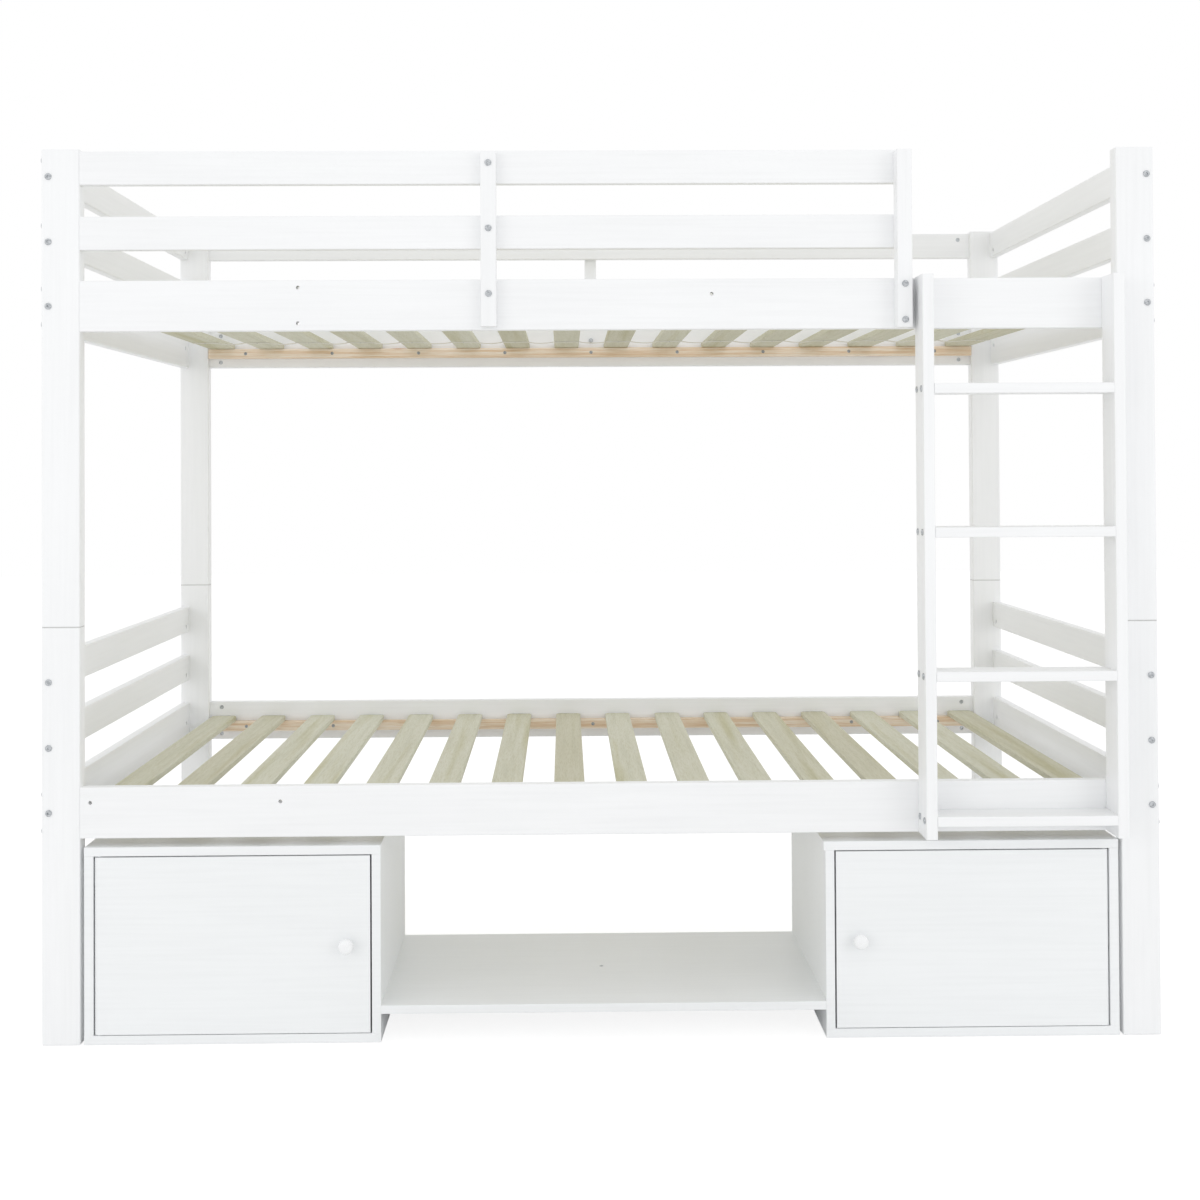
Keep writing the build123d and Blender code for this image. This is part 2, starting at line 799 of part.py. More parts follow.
def knob_seats(end):
    """Plane on the door's face under its knob, facing out of the cabinet."""
    x = door_free_x(end) - cabinet_faces[end][1] * knob_inset
    return [Plane(origin=(x, front_y, door_middle), x_dir=(1, 0, 0), z_dir=(0, -1, 0))]


def pivot_seats(end):
    """Planes on the bottom and the top board that face the door, at its pivots."""
    return [
        Plane(origin=(hinge_x(end), hinge_y, side_z[0]), z_dir=(0, 0, 1)),
        Plane(origin=(hinge_x(end), hinge_y, side_z[1]), z_dir=(0, 0, -1)),
    ]


for end, (x, inward_x) in cabinet_faces.items():
    full_x = span(x, inward_x * cabinet_width)
    inner_face_x = x + inward_x * cabinet_width

    with BuildPart() as cabinet_outer_side:
        board(span(x, inward_x * panel_thickness), cabinet_y, side_z, Axis.Z, panel_edge_radius)
        place(long_screw_hole, panel_screw_seats(end), Mode.SUBTRACT)
        drill(panel_dowel_seats(end), dowel_radius, down=dowel_board_depth)
    cabinet_outer_side.part.label = f"{end}_cabinet_outer_side"
    export_step(cabinet_outer_side.part, f"parts/{end}_cabinet_outer_side.step")

    with BuildPart() as cabinet_inner_side:
        side_x = span(inner_face_x, -inward_x * panel_thickness)
        board(side_x, cabinet_y, side_z, Axis.Z, panel_edge_radius)
        place(long_screw_hole, panel_screw_seats(end) + shelf_screw_seats(end), Mode.SUBTRACT)
        drill(panel_dowel_seats(end), dowel_radius, down=dowel_board_depth)
    cabinet_inner_side.part.label = f"{end}_cabinet_inner_side"
    export_step(cabinet_inner_side.part, f"parts/{end}_cabinet_inner_side.step")

    with BuildPart() as cabinet_top:
        top_x = span(x, inward_x * (cabinet_width + top_overhangs[end]))
        board(top_x, cabinet_y, (side_z[1], cabinet_height), Axis.X, panel_edge_radius)
        drill(panel_dowel_seats(end), dowel_radius, up=dowel_panel_depth)
        drill(pivot_seats(end)[1:], pivot_radius, down=pivot_depth)
    cabinet_top.part.label = f"{end}_cabinet_top"
    export_step(cabinet_top.part, f"parts/{end}_cabinet_top.step")

    with BuildPart() as cabinet_bottom:
        board(full_x, cabinet_y, (0, side_z[0]), Axis.X, panel_edge_radius)
        place(long_screw_hole, panel_screw_seats(end), Mode.SUBTRACT)
        drill(pivot_seats(end)[:1], pivot_radius, down=pivot_depth)
    cabinet_bottom.part.label = f"{end}_cabinet_bottom"
    export_step(cabinet_bottom.part, f"parts/{end}_cabinet_bottom.step")

    with BuildPart() as cabinet_back:
        back_x = (full_x[0] + panel_thickness, full_x[1] - panel_thickness)
        block(back_x, span(cabinet_y[1], -back_thickness), side_z)
    cabinet_back.part.label = f"{end}_cabinet_back"
    export_step(cabinet_back.part, f"parts/{end}_cabinet_back.step")

# Doors turn about pivots at their outer edge, which is rounded about them
for end in ends:
    knob_seat = knob_seats(end)
    door_x = sorted((hinge_x(end), door_free_x(end)))
    with BuildPart() as door:
        with BuildSketch(Plane.XY.offset(door_bottom)):
            with Locations(((door_x[0] + door_x[1]) / 2, hinge_y)):
                Rectangle(door_x[1] - door_x[0], door_thickness)
            with Locations((hinge_x(end), hinge_y)):
                Circle(door_thickness / 2)
        extrude(amount=door_top - door_bottom)
        hole_depth = pivot_depth + door_top_gap + door_bottom_gap
        drill(pivot_seats(end), pivot_radius + pivot_play, up=hole_depth)
        drill(knob_seat, knob_stud_radius, down=knob_stud_length)
    door.part.label = f"{end}_door"
    export_step(door.part, f"parts/{end}_door.step")

    with BuildPart() as knob:
        knob_plane = Plane(origin=knob_seat[0].origin, x_dir=(0, -1, 0), z_dir=(0, 0, 1))
        neck_end = knob_base_length + (knob_length - knob_base_length) / 3
        with BuildSketch(knob_plane):
            with BuildLine():
                Polyline(
                    (neck_end, knob_neck_radius),
                    (knob_base_length, knob_neck_radius),
                    (knob_base_length - 1, knob_base_radius),
                    (0, knob_base_radius),
                    (0, knob_stud_radius),
                    (-knob_stud_length, knob_stud_radius),
                    (-knob_stud_length, 0),
                    (knob_length, 0),
                )
                widest = (knob_length + neck_end) / 2
                Spline(
                    (neck_end, knob_neck_radius),
                    (widest, knob_radius),
                    (knob_length, 0),
                    tangents=((0, 1), (0, -1)),
                )
            make_face()
        revolve(axis=Axis(knob_plane.origin, (0, -1, 0)))
    knob.part.label = f"{end}_knob"
    export_step(knob.part, f"parts/{end}_knob.step")

    with BuildPart() as strike:
        strike_x = door_free_x(end) - cabinet_faces[end][1] * catch_inset
        block(
            span(strike_x - strike_length / 2, strike_length),
            span(front_y + door_thickness, strike_thickness),
            span(door_top - strike_height, strike_height),
        )
    strike.part.label = f"{end}_door_strike"
    export_step(strike.part, f"parts/{end}_door_strike.step")

with BuildPart() as door_pivots:
    for end in ends:
        for seat, gap in zip(pivot_seats(end), (door_bottom_gap, door_top_gap)):
            with Locations(seat):
                Cylinder(pivot_radius, pivot_depth, align=top_align)
                Cylinder(pivot_radius, gap + pivot_depth, align=bottom_align)
                Cylinder(pivot_collar_radius, gap - pivot_end_play, align=bottom_align)
door_pivots.part.label = "door_pivots"
export_step(door_pivots.part, "parts/door_pivots.step")

with BuildPart() as catches:
    for end in ends:
        catch_x = door_free_x(end) - cabinet_faces[end][1] * catch_inset
        block(
            span(catch_x - catch_length / 2, catch_length),
            span(front_y + door_thickness + strike_thickness + catch_gap, catch_depth),
            span(side_z[1], -catch_height),
        )
catches.part.label = "catches"
export_step(catches.part, "parts/catches.step")

# Shelf between the cabinets, with a foot under its middle
shelf_x = (cabinet_faces["left"][0] + cabinet_width, cabinet_faces["right"][0] - cabinet_width)
foot_screw_seats = [
    Plane(origin=(0, front_y + cabinet_depth / 2, shelf_height + shelf_thickness), z_dir=(0, 0, 1))
]

with BuildPart() as centre_shelf:
    board(shelf_x, cabinet_y, span(shelf_height, shelf_thickness), Axis.X, panel_edge_radius)
    shelf_screws = shelf_screw_seats("left") + shelf_screw_seats("right") + foot_screw_seats
    place(long_screw_hole, shelf_screws, Mode.SUBTRACT)
centre_shelf.part.label = "centre_shelf"
export_step(centre_shelf.part, "parts/centre_shelf.step")

with BuildPart() as shelf_foot:
    foot_y = span(front_y + cabinet_depth / 2 - foot_width / 2, foot_width)
    block((-foot_length / 2, foot_length / 2), foot_y, (0, shelf_height))
    place(long_screw_hole, foot_screw_seats, Mode.SUBTRACT)
shelf_foot.part.label = "shelf_foot"
export_step(shelf_foot.part, "parts/shelf_foot.step")

# Bolts with their nuts
end_bolts = [seat for corner in corners for seat in end_bolt_seats(*corner)]
rail_bolts = [seat for corner in corners for seat in rail_bolt_seats(*corner)]
barrel_nuts_seats = [seat for bunk in rail_heights for end in ends for seat in end_nut_seats(bunk, end)]
for bunk, side, end in corners:
    bolts = rail_bolt_seats(bunk, side, end)
    barrel_nuts_seats += nut_seats(bolts, post_width, (0, sides[side][1], 0))

with BuildPart() as end_rail_bolts:
    place(end_bolt, end_bolts)
end_rail_bolts.part.label = "end_rail_bolts"
export_step(end_rail_bolts.part, "parts/end_rail_bolts.step")

with BuildPart() as bed_rail_bolts:
    place(rail_bolt, rail_bolts)
bed_rail_bolts.part.label = "bed_rail_bolts"
export_step(bed_rail_bolts.part, "parts/bed_rail_bolts.step")

with BuildPart() as barrel_nuts:
    place(barrel_nut_shape, barrel_nuts_seats)
barrel_nuts.part.label = "barrel_nuts"
export_step(barrel_nuts.part, "parts/barrel_nuts.step")


def opposite_seats(nut_planes, distance):
    """Planes a distance behind the nuts' planes that face the other way, for the bolt heads."""
    return [
        Plane(origin=seat.origin - seat.z_dir * distance, z_dir=-seat.z_dir) for seat in nut_planes
    ]


all_batten_nut_seats = batten_nut_seats + back_batten_nut_seats

with BuildPart() as guard_bolts:
    guard_post_heads = opposite_seats(guard_post_nut_seats, rail_thickness + guard_post_depth)
    batten_heads = opposite_seats(all_batten_nut_seats, rail_thickness + batten_thickness)
    place(guard_post_bolt, guard_post_heads)
    place(batten_bolt, batten_heads)
guard_bolts.part.label = "guard_bolts"
export_step(guard_bolts.part, "parts/guard_bolts.step")

with BuildPart() as cap_nuts:
    place(cap_nut_shape, guard_post_nut_seats + all_batten_nut_seats)
cap_nuts.part.label = "cap_nuts"
export_step(cap_nuts.part, "parts/cap_nuts.step")

with BuildPart() as ladder_bolts:
    place(ladder_bolt, ladder_bolt_seats)
ladder_bolts.part.label = "ladder_bolts"
export_step(ladder_bolts.part, "parts/ladder_bolts.step")

with BuildPart() as ladder_insert_nuts:
    place(insert_nut_shape, insert_nut_seats)
ladder_insert_nuts.part.label = "ladder_insert_nuts"
export_step(ladder_insert_nuts.part, "parts/ladder_insert_nuts.step")

with BuildPart() as rung_bolts:
    place(rung_bolt, rung_bolt_seats("left") + rung_bolt_seats("right"))
rung_bolts.part.label = "rung_bolts"
export_step(rung_bolts.part, "parts/rung_bolts.step")

# Dowels and screws
with BuildPart() as dowels:
    board_dowel_seats = [
        seat
        for corner in corners
        for seat in end_dowel_seats(*corner) + rail_dowel_seats(*corner)
    ]
    place(board_dowel, board_dowel_seats)
    place(panel_dowel, panel_dowel_seats("left") + panel_dowel_seats("right"))
dowels.part.label = "dowels"
export_step(dowels.part, "parts/dowels.step")

with BuildPart() as wood_screws:
    ledger_seats = [
        seat for bunk in rail_heights for side in sides for seat in ledger_screw_seats(bunk, side)
    ]
    slat_seats = slat_screw_seats("lower") + slat_screw_seats("upper")
    place(short_screw, ledger_seats + slat_seats + guard_screw_seats)
wood_screws.part.label = "wood_screws"
export_step(wood_screws.part, "parts/wood_screws.step")

with BuildPart() as cabinet_screws:
    cabinet_seats = [
        seat for end in ends for seat in panel_screw_seats(end) + shelf_screw_seats(end)
    ]
    place(long_screw, cabinet_seats + foot_screw_seats)
cabinet_screws.part.label = "cabinet_screws"
export_step(cabinet_screws.part, "parts/cabinet_screws.step")
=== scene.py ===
import math
from collections import namedtuple

import bmesh
import bpy
from mathutils import Matrix, Vector


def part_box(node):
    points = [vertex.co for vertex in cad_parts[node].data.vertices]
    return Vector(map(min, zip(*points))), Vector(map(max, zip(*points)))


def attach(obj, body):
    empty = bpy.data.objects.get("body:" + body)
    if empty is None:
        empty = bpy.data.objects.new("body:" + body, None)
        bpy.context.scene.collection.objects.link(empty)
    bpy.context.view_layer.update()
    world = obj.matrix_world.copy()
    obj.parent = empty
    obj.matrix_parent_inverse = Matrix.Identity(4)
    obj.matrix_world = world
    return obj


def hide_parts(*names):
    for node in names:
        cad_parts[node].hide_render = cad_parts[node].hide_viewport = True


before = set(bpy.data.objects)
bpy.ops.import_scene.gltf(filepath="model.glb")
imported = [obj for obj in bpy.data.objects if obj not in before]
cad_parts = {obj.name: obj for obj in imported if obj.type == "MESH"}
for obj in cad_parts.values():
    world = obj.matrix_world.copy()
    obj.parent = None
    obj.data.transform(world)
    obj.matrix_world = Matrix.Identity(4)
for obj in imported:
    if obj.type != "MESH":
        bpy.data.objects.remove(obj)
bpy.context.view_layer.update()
scene = bpy.context.scene
MM = 0.001


# Camera: the photograph's own eye, turn, lens and framing. Places are in metres, angles in
# radians, and the lens and its centre are shares of the photograph's width.
IMAGE_WIDTH = 1200
EYE_X = -0.066
EYE_BEFORE_POSTS = 2.850
EYE_HEIGHT = 1.022
TURN = 0.01378
TILT = 0.01262
ROLL = -0.00514
FOCAL_SHARE = 1588.94 / IMAGE_WIDTH
CENTRE_SHARE = (586.336 / IMAGE_WIDTH, 447.688 / IMAGE_WIDTH)
SENSOR_MM = 36
FAR_CLIP = 50


def make_camera():
    """Put the camera at the photograph's eye, with its lens shifted to the photograph's framing."""
    front_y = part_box("post_lower_front_left")[0].y
    ahead = Vector((math.sin(TURN) * math.cos(TILT), math.cos(TURN) * math.cos(TILT), math.sin(TILT)))
    level = Vector((math.cos(TURN), -math.sin(TURN), 0))
    upright = level.cross(ahead)
    across = level * math.cos(ROLL) + upright * math.sin(ROLL)
    up = upright * math.cos(ROLL) - level * math.sin(ROLL)
    data = bpy.data.cameras.new("photo_camera")
    data.sensor_width = SENSOR_MM
    data.lens = SENSOR_MM * FOCAL_SHARE
    data.shift_x = 0.5 - CENTRE_SHARE[0]
    data.shift_y = CENTRE_SHARE[1] - 0.5
    data.clip_end = FAR_CLIP
    camera = bpy.data.objects.new("photo_camera", data)
    scene.collection.objects.link(camera)
    facing = Matrix((across, up, -ahead)).transposed().to_4x4()
    camera.matrix_world = Matrix.Translation((EYE_X, front_y - EYE_BEFORE_POSTS, EYE_HEIGHT)) @ facing
    scene.camera = camera


# Material tools. Colours are written as sRGB hex values.
def linear(hex_value):
    """Turn an sRGB hex value into the linear colour that a shader takes."""
    parts = [int(hex_value[i:i + 2], 16) / 255 for i in (1, 3, 5)]
    return [p / 12.92 if p <= 0.04045 else ((p + 0.055) / 1.055) ** 2.4 for p in parts] + [1]


def add_node(tree, kind, settings=None, links=None):
    """Add a node with its settings and input values, and link sockets to its inputs."""
    node = tree.nodes.new(kind)
    for name, value in (settings or {}).items():
        if isinstance(name, str) and hasattr(node, name):
            setattr(node, name, value)
        else:
            node.inputs[name].default_value = value
    for name, socket in (links or {}).items():
        tree.links.new(socket, node.inputs[name])
    return node


def new_material(name, roughness, ior=None, metallic=0.0):
    """Start a material, and return it with its tree, its shader and the place on the piece."""
    material = bpy.data.materials.new(name)
    material.use_nodes = True
    tree = material.node_tree
    tree.nodes.clear()
    shader = add_node(tree, "ShaderNodeBsdfPrincipled", {"Roughness": roughness, "Metallic": metallic})
    if ior:
        shader.inputs["IOR"].default_value = ior
    add_node(tree, "ShaderNodeOutputMaterial", {}, {"Surface": shader.outputs["BSDF"]})
    place = add_node(tree, "ShaderNodeTexCoord").outputs["Object"]
    return material, tree, shader, place


def mottle(tree, place, along, across_mm, along_mm, detail=2.0, distortion=0.0):
    """Make a pattern whose marks have these sizes across and along an axis of the piece."""
    scale = [1 / (across_mm * MM)] * 3
    scale["xyz".index(along)] = 1 / (along_mm * MM)
    mapped = add_node(tree, "ShaderNodeMapping", {"Scale": scale}, {"Vector": place}).outputs["Vector"]
    settings = {"Scale": 1.0, "Detail": detail, "Distortion": distortion}
    return add_node(tree, "ShaderNodeTexNoise", settings, {"Vector": mapped}).outputs["Fac"]


def lay_colour(tree, shader, *coats):
    """Colour a finish by coats of (pattern, (position, hex) stops, share). The first coat is the
    colour itself, and each later one darkens it by its share."""
    colour = None
    for pattern, stops, share in coats:
        tones = add_node(tree, "ShaderNodeValToRGB", {}, {"Fac": pattern})
        elements = tones.color_ramp.elements
        while len(elements) < len(stops):
            elements.new(0.5)
        for element, (position, hex_value) in zip(elements, stops):
            element.position = position
            element.color = linear(hex_value)
        coat = tones.outputs["Color"]
        if colour:
            settings = {"data_type": "RGBA", "blend_type": "MULTIPLY", 0: share}
            coat = add_node(tree, "ShaderNodeMix", settings, {6: colour, 7: coat}).outputs[2]
        colour = coat
    tree.links.new(colour, shader.inputs["Base Color"])


def emboss(tree, shader, *layers):
    """Give a finish the relief of (pattern, strength, depth in mm) layers."""
    normal = None
    for pattern, strength, depth in layers:
        links = {"Height": pattern}
        if normal:
            links["Normal"] = normal
        settings = {"Strength": strength, "Distance": depth * MM}
        normal = add_node(tree, "ShaderNodeBump", settings, links).outputs["Normal"]
    tree.links.new(normal, shader.inputs["Normal"])


# Finishes
LACQUER_IOR = 1.5
WOOD_IOR = 1.5
NYLON_IOR = 1.53
POLYESTER_IOR = 1.5
# A grey line of painted shade, for the groove where the posts meet, is 0.8 mm to each side of
# the joint, drawn at 1.6 mm so that it shows
JOINT_SHADE_REACH = 1.6 * MM
# Knots are drawn in cells of this size along and across a ledger, in mm
KNOT_CELL = (260, 50, 50)
# The ribbon's UV map has one unit to 100 mm. Its ribs are too fine to show, so they are drawn
# at 2.5 mm.
RIBBON_UV_MM = 100
RIB_MM = 2.5


def satin_paint(name, along, hex_value, cloud_hex, roughness, joint=None):
    """White satin lacquer, rolled on planed pine: an even, cool white whose fine stipple breaks
    up the gloss, with the grain telegraphing faintly through it along the board. Where two
    posts meet, at a joint's height, a grey line of painted shade stands for the groove's shadow."""
    material, tree, shader, place = new_material(name, roughness, LACQUER_IOR)
    grain = mottle(tree, place, along, 6, 210, detail=3.0)
    # Roller stipple of about 0.8 mm is drawn at 2.4 mm, so that it shows
    stipple = mottle(tree, place, along, 2.4, 2.9)
    cloud = mottle(tree, place, along, 110, 420)
    coats = [
        (cloud, [(0.35, hex_value), (0.7, cloud_hex)], 1.0),
        (grain, [(0.4, "#ffffff"), (0.75, "#fcfcfc")], 1.0),
    ]
    if joint:
        away = add_node(tree, "ShaderNodeSeparateXYZ", {}, {0: place}).outputs[2]
        for operation, value in (("SUBTRACT", joint), ("ABSOLUTE", 0.0), ("DIVIDE", JOINT_SHADE_REACH)):
            settings = {"operation": operation, 1: value}
            away = add_node(tree, "ShaderNodeMath", settings, {0: away}).outputs[0]
        # Painted shade: a grey line along the groove at the posts' joint
        coats.append((away, [(0.45, "#d9d9d7"), (1.0, "#ffffff")], 1.0))
    lay_colour(tree, shader, *coats)
    gloss = add_node(
        tree, "ShaderNodeMapRange",
        {"From Min": 0.3, "From Max": 0.7, "To Min": roughness - 0.05, "To Max": roughness + 0.08},
        {"Value": stipple},
    )
    tree.links.new(gloss.outputs["Result"], shader.inputs["Roughness"])
    emboss(tree, shader, (grain, 0.12, 0.06), (stipple, 0.15, 0.05))
    return material


def sanded_poplar(name):
    """Sanded poplar: pale with a green cast, long soft rings, short pores and a few olive
    heartwood streaks. Each slat is a little lighter or darker than the next."""
    material, tree, shader, place = new_material(name, 0.62, WOOD_IOR)
    rings = mottle(tree, place, "y", 10, 300, detail=4.0, distortion=0.5)
    streaks = mottle(tree, place, "y", 26, 700)
    pores = mottle(tree, place, "y", 1.3, 26)
    tone = add_node(tree, "ShaderNodeAttribute", {"attribute_name": "slat_tone"}).outputs["Fac"]
    lay_colour(
        tree, shader,
        (rings, [(0.3, "#dadacb"), (0.5, "#d6d6c4"), (0.74, "#cecebb")], 1.0),
        (streaks, [(0.52, "#ffffff"), (0.75, "#ebe8d2")], 1.0),
        (pores, [(0.45, "#ffffff"), (0.75, "#e9e5d6")], 0.8),
        (tone, [(0.0, "#eeeae0"), (1.0, "#ffffff")], 1.0),
    )
    emboss(tree, shader, (pores, 0.3, 0.12))
    return material


def bare_pine(name):
    """Bare planed pine: cream early wood with thin orange rings along the batten and small
    reddish knots."""
    material, tree, shader, place = new_material(name, 0.55, WOOD_IOR)
    rings = mottle(tree, place, "x", 4.5, 330, detail=4.0, distortion=0.8)
    pores = mottle(tree, place, "x", 1.0, 30)
    cells = add_node(
        tree, "ShaderNodeMapping", {"Scale": [1 / (size * MM) for size in KNOT_CELL]}, {"Vector": place},
    ).outputs["Vector"]
    knots = add_node(tree, "ShaderNodeTexVoronoi", {"Scale": 1.0}, {"Vector": cells}).outputs["Distance"]
    lay_colour(
        tree, shader,
        (rings, [(0.3, "#f6ebdd"), (0.5, "#f1e1cc"), (0.62, "#e3c8a8"), (0.8, "#edd9bf")], 1.0),
        (pores, [(0.45, "#ffffff"), (0.75, "#f0e2d2")], 1.0),
        (knots, [(0.0, "#a8683e"), (0.05, "#c99467"), (0.1, "#ffffff")], 0.8),
    )
    emboss(tree, shader, (pores, 0.3, 0.1))
    return material


def turned_beech(name):
    """Turned beech rod: even pinkish tan with short dark flecks."""
    material, tree, shader, place = new_material(name, 0.6, WOOD_IOR)
    flecks = mottle(tree, place, "x", 0.8, 5, detail=3.0)
    lay_colour(tree, shader, (flecks, [(0.35, "#dcbf99"), (0.7, "#b98e62")], 1.0))
    emboss(tree, shader, (flecks, 0.3, 0.08))
    return material


def zinc_plate(name, hex_value, dark_hex, roughness):
    """Bright zinc on pressed steel: a light, slightly blue metal with cloudy patches and a fine
    scratched haze."""
    material, tree, shader, place = new_material(name, roughness, metallic=1.0)
    patches = mottle(tree, place, "z", 3.5, 3.5, detail=3.0)
    scratches = mottle(tree, place, "z", 0.5, 3.0)
    lay_colour(tree, shader, (patches, [(0.35, hex_value), (0.7, dark_hex)], 1.0))
    haze = add_node(
        tree, "ShaderNodeMapRange", {"To Min": roughness - 0.06, "To Max": roughness + 0.1},
        {"Value": scratches},
    )
    tree.links.new(haze.outputs["Result"], shader.inputs["Roughness"])
    emboss(tree, shader, (scratches, 0.25, 0.03))
    return material


def moulded_nylon(name):
    """Injection-moulded white nylon with a fine eroded texture that keeps it matt."""
    material, tree, shader, place = new_material(name, 0.48, NYLON_IOR)
    grit = mottle(tree, place, "z", 0.7, 0.7)
    lay_colour(tree, shader, (grit, [(0.3, "#ededea"), (0.7, "#e2e2de")], 1.0))
    emboss(tree, shader, (grit, 0.3, 0.05))
    return material


def woven_polyester(name):
    """Ecru polyester ribbon: ribs across it between two plain selvedges, matt and a little
    fuzzy. It reads the ribbon's own UV map."""
    material, tree, shader, place = new_material(name, 0.85, POLYESTER_IOR)
    ribbon_place = add_node(tree, "ShaderNodeUVMap", {"uv_map": "ribbon"}).outputs["UV"]
    # At a scale of 1, the wave has about three ribs to a unit
    rib_scale = RIBBON_UV_MM / RIB_MM / math.tau * 2
    ribs = add_node(
        tree, "ShaderNodeTexWave",
        {"bands_direction": "X", "Scale": rib_scale, "Distortion": 0.4, "Detail": 1.0},
        {"Vector": ribbon_place},
    ).outputs["Fac"]
    fuzz = mottle(tree, place, "x", 1.5, 6)
    lay_colour(
        tree, shader,
        (ribs, [(0.15, "#c9c6b8"), (0.8, "#e6e3d6")], 1.0),
        (fuzz, [(0.4, "#ffffff"), (0.8, "#efece2")], 1.0),
    )
    emboss(tree, shader, (ribs, 0.5, 0.25))
    shader.inputs["Sheen Weight"].default_value = 0.25
    return material


BOARD_WHITE = ("#f6f7f8", "#f3f4f5", 0.42)
paint_along = satin_paint("satin_lacquer_long_boards", "x", *BOARD_WHITE)
paint_across = satin_paint("satin_lacquer_end_boards", "y", *BOARD_WHITE)
post_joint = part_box("post_lower_front_left")[1].z
paint_post = satin_paint("satin_lacquer_posts", "z", *BOARD_WHITE, joint=post_joint)
paint_upright = satin_paint("satin_lacquer_uprights", "z", *BOARD_WHITE)
paint_panel = satin_paint("smooth_lacquer_panels", "x", "#f3f5f6", "#f1f3f4", 0.36)
paint_knob = satin_paint("gloss_lacquer_knobs", "y", "#f6f7f8", "#f4f5f6", 0.24)
poplar = sanded_poplar("sanded_poplar_slats")
pine = bare_pine("planed_pine_ledgers")
beech = turned_beech("turned_beech_dowels")
zinc = zinc_plate("zinc_plated_bolts", "#d2d5d8", "#a6aaae", 0.3)
screw_zinc = zinc_plate("zinc_plated_screws", "#b9bcbf", "#85898c", 0.36)
nylon = moulded_nylon("moulded_nylon_catches")
polyester = woven_polyester("woven_polyester_ribbon")


def finish_of(name):
    """Choose a CAD node's material from what the node is."""
    if name.endswith("_knob"):
        return paint_knob
    if name.endswith("_door"):
        return paint_panel
    finishes = (
        (paint_across, ("end_rails",)),
        (paint_post, ("post_lower", "post_upper")),
        (paint_upright, ("guard_post", "guard_batten", "ladder_stile")),
        (paint_along, ("bed_rail_lower", "bed_rail_upper", "guard_rails", "ladder_rungs")),
        (paint_panel, ("left_cabinet", "right_cabinet", "centre_shelf", "shelf_foot")),
        (poplar, ("slats",)),
        (pine, ("ledgers",)),
        (beech, ("dowels",)),
        (nylon, ("catches",)),
        (polyester, ("slat_straps",)),
    )
    for finish, starts in finishes:
        if name.startswith(starts):
            return finish
    return zinc


def carry_finishes():
    """Give every CAD node its material."""
    for name, node_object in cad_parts.items():
        node_object.data.materials.clear()
        node_object.data.materials.append(finish_of(name))


# Shape tools
WELD = 1e-6
SHARP_ANGLE = math.radians(35)
CORNER_STEPS = 5
# A recess's floor has this share of its mouth's size
RECESS_TAPER = 0.82


def solids_of(name):
    """Split a CAD node into its separate solids, each a list of points."""
    shape = bmesh.new()
    shape.from_mesh(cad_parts[name].data)
    bmesh.ops.remove_doubles(shape, verts=shape.verts, dist=WELD)
    seen, solids = set(), []
    for start in shape.verts:
        if start in seen:
            continue
        seen.add(start)
        waiting, points = [start], []
        while waiting:
            vert = waiting.pop()
            points.append(vert.co.copy())
            for edge in vert.link_edges:
                other = edge.other_vert(vert)
                if other not in seen:
                    seen.add(other)
                    waiting.append(other)
        solids.append(points)
    shape.free()
    return solids


def corners(points):
    """Return the lowest and highest corners of some points."""
    low = Vector(min(p[i] for p in points) for i in range(3))
    return low, Vector(max(p[i] for p in points) for i in range(3))


def piece_from(name, shape, material):
    """Make an object from a bmesh, with its faces outwards and its sharp edges crisp."""
    bmesh.ops.recalc_face_normals(shape, faces=shape.faces)
    mesh = bpy.data.meshes.new(name)
    shape.to_mesh(mesh)
    shape.free()
    for face in mesh.polygons:
        face.use_smooth = True
    mesh.set_sharp_from_angle(angle=SHARP_ANGLE)
    if material:
        mesh.materials.append(material)
    piece = bpy.data.objects.new(name, mesh)
    scene.collection.objects.link(piece)
    return piece


def rounded_outline(width, length, radius):
    """List the points of a rectangle with rounded corners, centred."""
    points = []
    for quarter, (sx, sy) in enumerate(((1, 1), (-1, 1), (-1, -1), (1, -1))):
        centre = (sx * (width / 2 - radius), sy * (length / 2 - radius))
        for step in range(CORNER_STEPS + 1):
            angle = math.radians(90 * (quarter + step / CORNER_STEPS))
            points.append((centre[0] + radius * math.cos(angle), centre[1] + radius * math.sin(angle)))
    return points


def close_rings(shape, rings, caps=(True, True)):
    """Join rings of points by quads, and cap the first and the last."""
    for ring, following in zip(rings, rings[1:]):
        for i in range(len(ring)):
            j = (i + 1) % len(ring)
            shape.faces.new((ring[i], ring[j], following[j], following[i]))
    if caps[0]:
        shape.faces.new(list(reversed(rings[0])))
    if caps[1]:
        shape.faces.new(rings[-1])


def soft_plate(shape, low, high, radius, soften, facing):
    """Add a plate with rounded corners and softened rims, whose broad side faces an axis."""
    size, middle = high - low, (low + high) / 2
    sides = [i for i in range(3) if i != facing]
    outline = rounded_outline(size[sides[0]], size[sides[1]], radius)
    levels = ((0.0, soften), (soften, 0.0), (size[facing] - soften, 0.0), (size[facing], soften))
    rings = []
    for rise, inset in levels:
        ring = []
        for reach in outline:
            place = [low[facing] + rise] * 3
            for side, distance in zip(sides, reach):
                place[side] = middle[side] + distance * (1 - 2 * inset / size[side])
            ring.append(shape.verts.new(place))
        rings.append(ring)
    close_rings(shape, rings)


